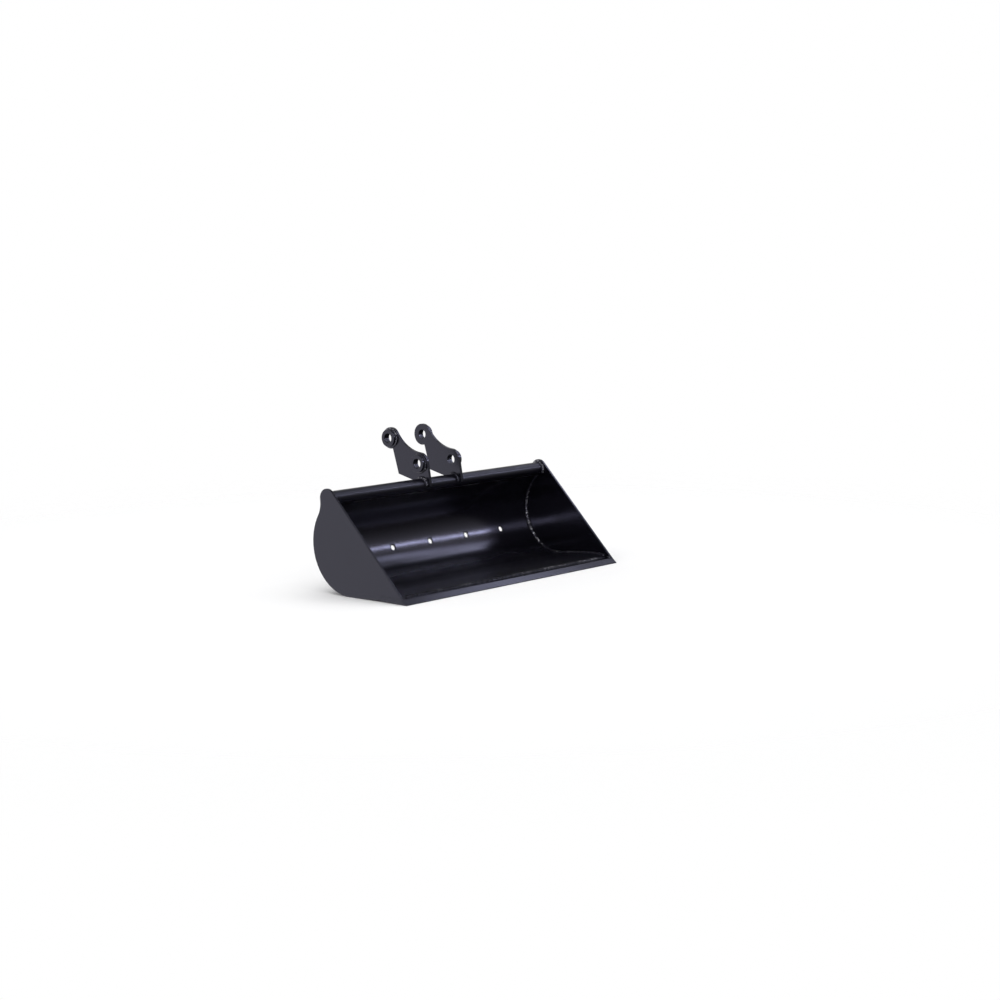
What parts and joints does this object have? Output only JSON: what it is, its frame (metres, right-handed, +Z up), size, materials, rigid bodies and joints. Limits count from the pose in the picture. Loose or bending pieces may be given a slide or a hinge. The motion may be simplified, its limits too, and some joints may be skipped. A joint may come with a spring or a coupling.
{
  "type": "grading bucket",
  "caption": "Wide, shallow welded steel bucket for grading: rolled shell with a bevelled cutting edge, side plates, top tube and a pair of ears for two cross pins.",
  "frame": {"origin": "on the ground under the middle of the whole bucket, as it stands on its cutting edge and the heels of its side plates", "axes": "+X across the bucket along the pins, -Y out of the open mouth, +Z up"},
  "size_m": [0.8, 0.4094, 0.3814],
  "materials": {
    "black_paint": "glossy black paint with a slight orange peel",
    "painted_weld": "glossy black paint over rippled weld beads"
  },
  "bodies": {
    "root": {"shell": "black_paint", "side_plate_left": "black_paint", "side_plate_right": "black_paint", "top_tube": "black_paint", "cutting_edge": "black_paint", "hanger_ear_left": "black_paint", "hanger_ear_right": "black_paint", "stick_boss_left": "black_paint", "stick_boss_right": "black_paint", "link_boss_left": "black_paint", "link_boss_right": "black_paint", "side_weld_left": "painted_weld", "side_weld_right": "painted_weld", "rim_weld_left": "painted_weld", "rim_weld_right": "painted_weld", "blade_seam_weld": "painted_weld", "blade_back_weld": "painted_weld", "blade_weld_left": "painted_weld", "blade_weld_right": "painted_weld", "tube_weld_left": "painted_weld", "tube_weld_right": "painted_weld", "tube_seam_weld_inside": "painted_weld", "tube_seam_weld_back": "painted_weld", "ear_weld_left": "painted_weld", "ear_weld_right": "painted_weld", "boss_welds": "painted_weld"}
  },
  "joints": []
}
